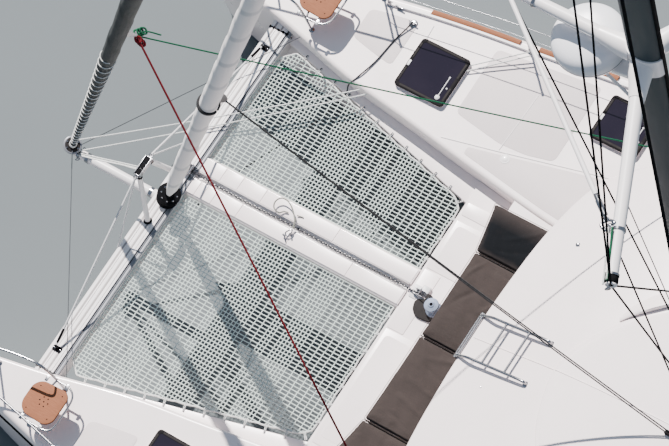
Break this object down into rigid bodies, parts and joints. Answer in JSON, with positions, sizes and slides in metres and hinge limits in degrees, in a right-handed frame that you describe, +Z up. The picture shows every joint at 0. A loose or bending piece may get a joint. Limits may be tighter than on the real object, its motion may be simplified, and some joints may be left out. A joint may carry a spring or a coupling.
{
  "type": "sailing catamaran",
  "caption": "Cruising catamaran under bare poles: decked hulls, saloon, foredeck nets, furled headsails, raked mast, boom, rudders and propellers.",
  "frame": {"origin": "on the centreline at the waterline, midway between the bows and the sterns", "axes": "+X forward to the bows, +Y to port, +Z up"},
  "size_m": [14.5, 7.9, 24.25],
  "materials": {
    "gelcoat": "glossy, slightly textured on walking areas",
    "white_alloy": "satin white paint",
    "steel": "polished",
    "black": "satin",
    "smoked_glass": "smoked acrylic",
    "teak": "oiled",
    "net": "knotted cord",
    "cushion_cloth": "woven outdoor cloth",
    "white_sail": "sailcloth",
    "dark_sail": "sailcloth",
    "cast_iron": "painted",
    "bronze": "polished",
    "laminate": "satin laminate"
  },
  "bodies": {
    "hulls": {"hull_port": "gelcoat", "hull_starboard": "gelcoat", "bridgedeck": "gelcoat", "longeron": "gelcoat", "coachroof": "gelcoat", "saloon_walls": "gelcoat", "hardtop": "gelcoat", "cockpit_seats": "gelcoat", "helm_console": "gelcoat", "radar_dome": "gelcoat", "crossbeam": "white_alloy", "bowsprit": "white_alloy", "mast": "white_alloy", "struts": "white_alloy", "anchor_chain": "steel", "anchor": "steel", "striker": "steel", "pulpit_port": "steel", "pulpit_starboard": "steel", "lifelines_port": "steel", "lifelines_starboard": "steel", "ladder": "steel", "shroud_port": "steel", "shroud_starboard": "steel", "windlass_base": "black", "genoa_drum": "black", "gennaker_drum": "black", "saloon_glass": "smoked_glass", "bow_seat_port": "teak", "bow_seat_starboard": "teak", "cockpit_table": "teak", "trampoline_port": "net", "trampoline_starboard": "net", "cushion_starboard_outer": "cushion_cloth", "cushion_starboard_inner": "cushion_cloth", "cushion_port_inner": "cushion_cloth", "cushion_port_outer": "cushion_cloth", "genoa_furled": "white_sail", "gennaker_furled": "dark_sail", "engine_port": "cast_iron", "engine_starboard": "cast_iron", "saildrive_port": "cast_iron", "saildrive_starboard": "cast_iron", "saloon_furniture": "laminate"},
    "rudder_port": {"rudder_port": "gelcoat"},
    "rudder_starboard": {"rudder_starboard": "gelcoat"},
    "propeller_port": {"propeller_port": "bronze"},
    "propeller_starboard": {"propeller_starboard": "bronze"},
    "helm_wheel": {"helm_wheel": "steel"},
    "windlass_drum": {"windlass_drum": "steel"},
    "boom": {"boom": "white_alloy", "sail_stack": "cushion_cloth"},
    "saloon_door": {"saloon_door": "white_alloy"},
    "hatch_fore_port": {"hatch_fore_port": "smoked_glass"},
    "hatch_fore_starboard": {"hatch_fore_starboard": "smoked_glass"},
    "hatch_mid_port": {"hatch_mid_port": "smoked_glass"},
    "hatch_mid_starboard": {"hatch_mid_starboard": "smoked_glass"},
    "engine_lid_port": {"engine_lid_port": "gelcoat"},
    "engine_lid_starboard": {"engine_lid_starboard": "gelcoat"}
  },
  "joints": [
    {"name": "rudder_port_turn", "type": "hinge", "parent": "hulls", "child": "rudder_port", "pos_m": [-6.15, 2.95, -0.47], "axis": [0, 0, 1], "range_deg": [-35, 35]},
    {"name": "rudder_starboard_turn", "type": "hinge", "parent": "hulls", "child": "rudder_starboard", "pos_m": [-6.15, -2.95, -0.47], "axis": [0, 0, 1], "range_deg": [-35, 35]},
    {"name": "helm_turn", "type": "hinge", "parent": "hulls", "child": "helm_wheel", "pos_m": [-3.05, -2.15, 2.15], "axis": [1, 0, 0], "range_deg": [-361, 361]},
    {"name": "propeller_port_spin", "type": "hinge", "parent": "hulls", "child": "propeller_port", "pos_m": [-4.93, 2.95, -0.96], "axis": [1, 0, 0], "continuous": true},
    {"name": "propeller_starboard_spin", "type": "hinge", "parent": "hulls", "child": "propeller_starboard", "pos_m": [-4.93, -2.95, -0.96], "axis": [1, 0, 0], "continuous": true},
    {"name": "windlass_spin", "type": "hinge", "parent": "hulls", "child": "windlass_drum", "pos_m": [2.43, -0.315, 1.5], "axis": [0, 0, 1], "continuous": true},
    {"name": "boom_swing", "type": "hinge", "parent": "hulls", "child": "boom", "pos_m": [-2.01, 0, 4.35], "axis": [0, 0, 1], "range_deg": [-48, 48]},
    {"name": "hatch_fore_port_lift", "type": "hinge", "parent": "hulls", "child": "hatch_fore_port", "pos_m": [4.258, 2.67, 1.6723], "axis": [0, 1, 0], "range_deg": [0, 88]},
    {"name": "hatch_mid_port_lift", "type": "hinge", "parent": "hulls", "child": "hatch_mid_port", "pos_m": [1.978, 3.11, 1.6723], "axis": [0, 1, 0], "range_deg": [0, 88]},
    {"name": "engine_lid_port_lift", "type": "hinge", "parent": "hulls", "child": "engine_lid_port", "pos_m": [-4.16, 2.95, 1.6503], "axis": [0, 1, 0], "range_deg": [0, 80]},
    {"name": "hatch_fore_starboard_lift", "type": "hinge", "parent": "hulls", "child": "hatch_fore_starboard", "pos_m": [4.258, -2.67, 1.6723], "axis": [0, 1, 0], "range_deg": [0, 88]},
    {"name": "hatch_mid_starboard_lift", "type": "hinge", "parent": "hulls", "child": "hatch_mid_starboard", "pos_m": [1.978, -3.11, 1.6723], "axis": [0, 1, 0], "range_deg": [0, 88]},
    {"name": "engine_lid_starboard_lift", "type": "hinge", "parent": "hulls", "child": "engine_lid_starboard", "pos_m": [-4.16, -2.95, 1.6503], "axis": [0, 1, 0], "range_deg": [0, 80]},
    {"name": "saloon_door_slide", "type": "slide", "parent": "hulls", "child": "saloon_door", "axis": [0, -1, 0], "range_m": [0, 1.15]}
  ],
  "couplings": [
    {"joint": "rudder_starboard_turn", "follows": "rudder_port_turn", "ratio": 1},
    {"joint": "helm_turn", "follows": "rudder_port_turn", "ratio": 10.286}
  ]
}
